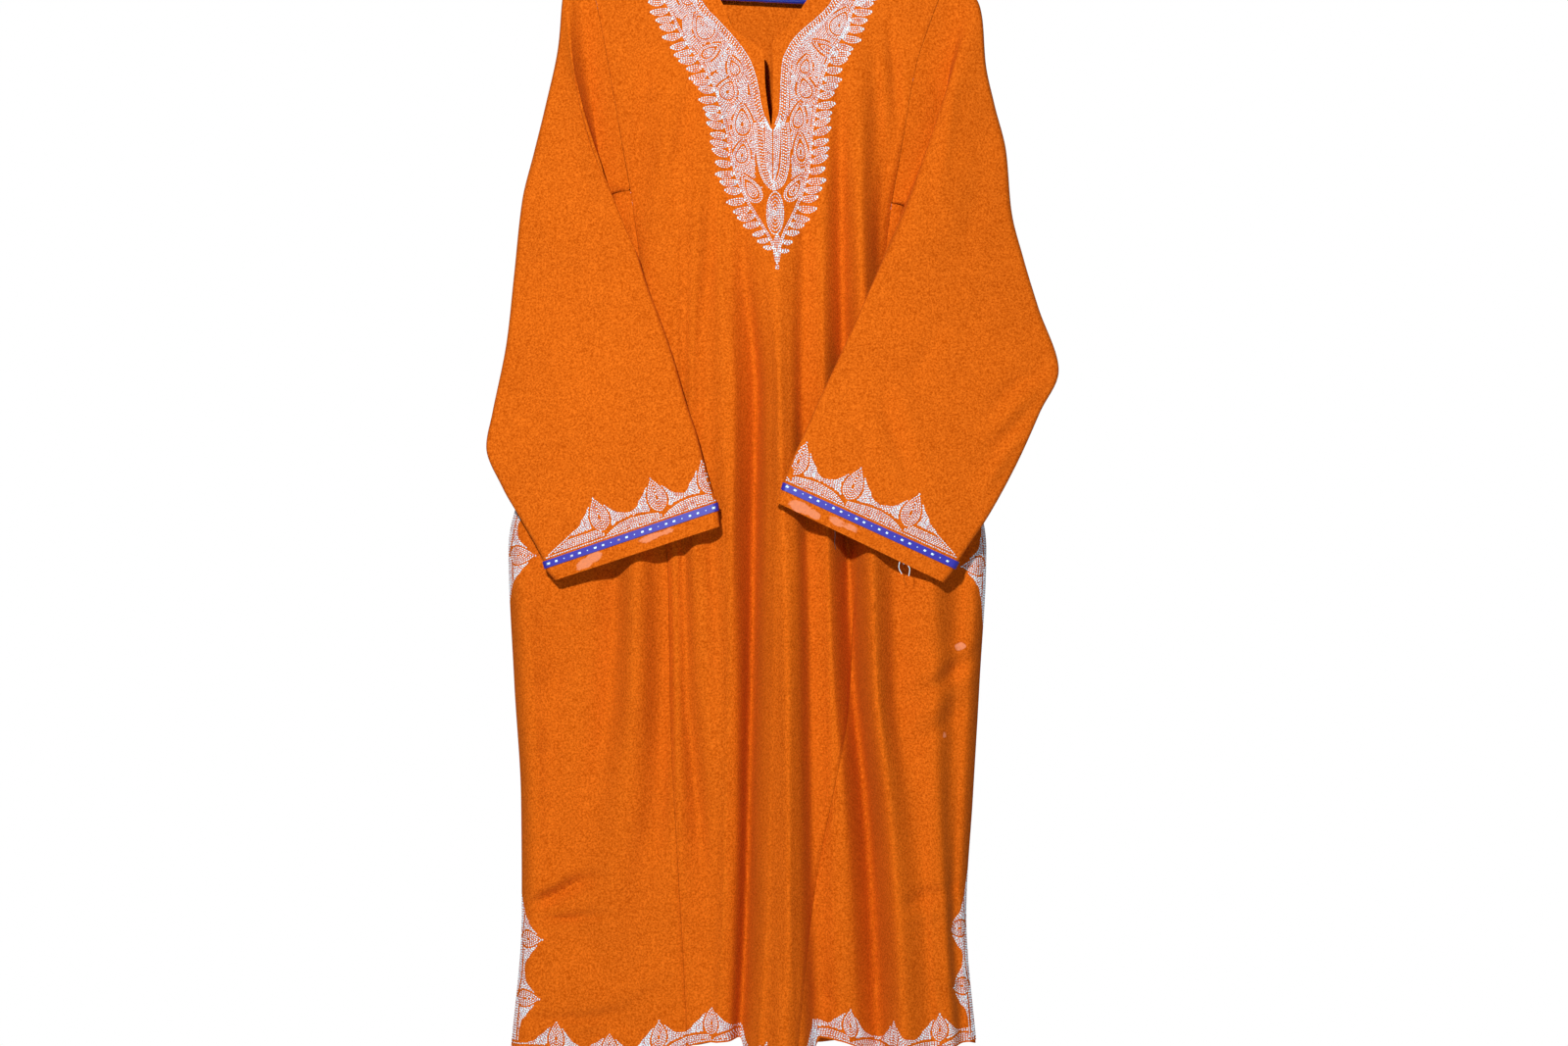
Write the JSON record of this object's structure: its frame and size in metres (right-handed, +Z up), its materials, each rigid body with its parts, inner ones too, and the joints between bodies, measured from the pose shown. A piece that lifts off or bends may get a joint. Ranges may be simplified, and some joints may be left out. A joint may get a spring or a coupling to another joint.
{
  "type": "pheran on a clothes hanger",
  "caption": "Wide straight-cut woollen pheran with a slit V neck, long tapering sleeves and silver thread borders, hung on a tubular plastic hanger.",
  "frame": {"origin": "inside top of the hook, where a rail carries it", "axes": "+Z up, the garment's front faces -Y, +X to the right seen from the front"},
  "size_m": [0.588, 0.1183, 1.2859],
  "materials": {
    "wool": "matte rust-orange woollen cloth with a short nap",
    "tape": "blue woven selvedge tape with a slight sheen",
    "silver_thread": "silvery white metallic chain stitch",
    "plastic": "glossy blue moulded plastic"
  },
  "bodies": {
    "root": {"front_panel": "wool", "back_panel": "wool", "side_panel_front_left": "wool", "side_panel_front_right": "wool", "side_panel_back_left": "wool", "side_panel_back_right": "wool", "sleeve_left": "wool", "sleeve_right": "wool", "cuff_tape_left": "tape", "cuff_tape_right": "tape", "hanger": "plastic"}
  },
  "joints": []
}
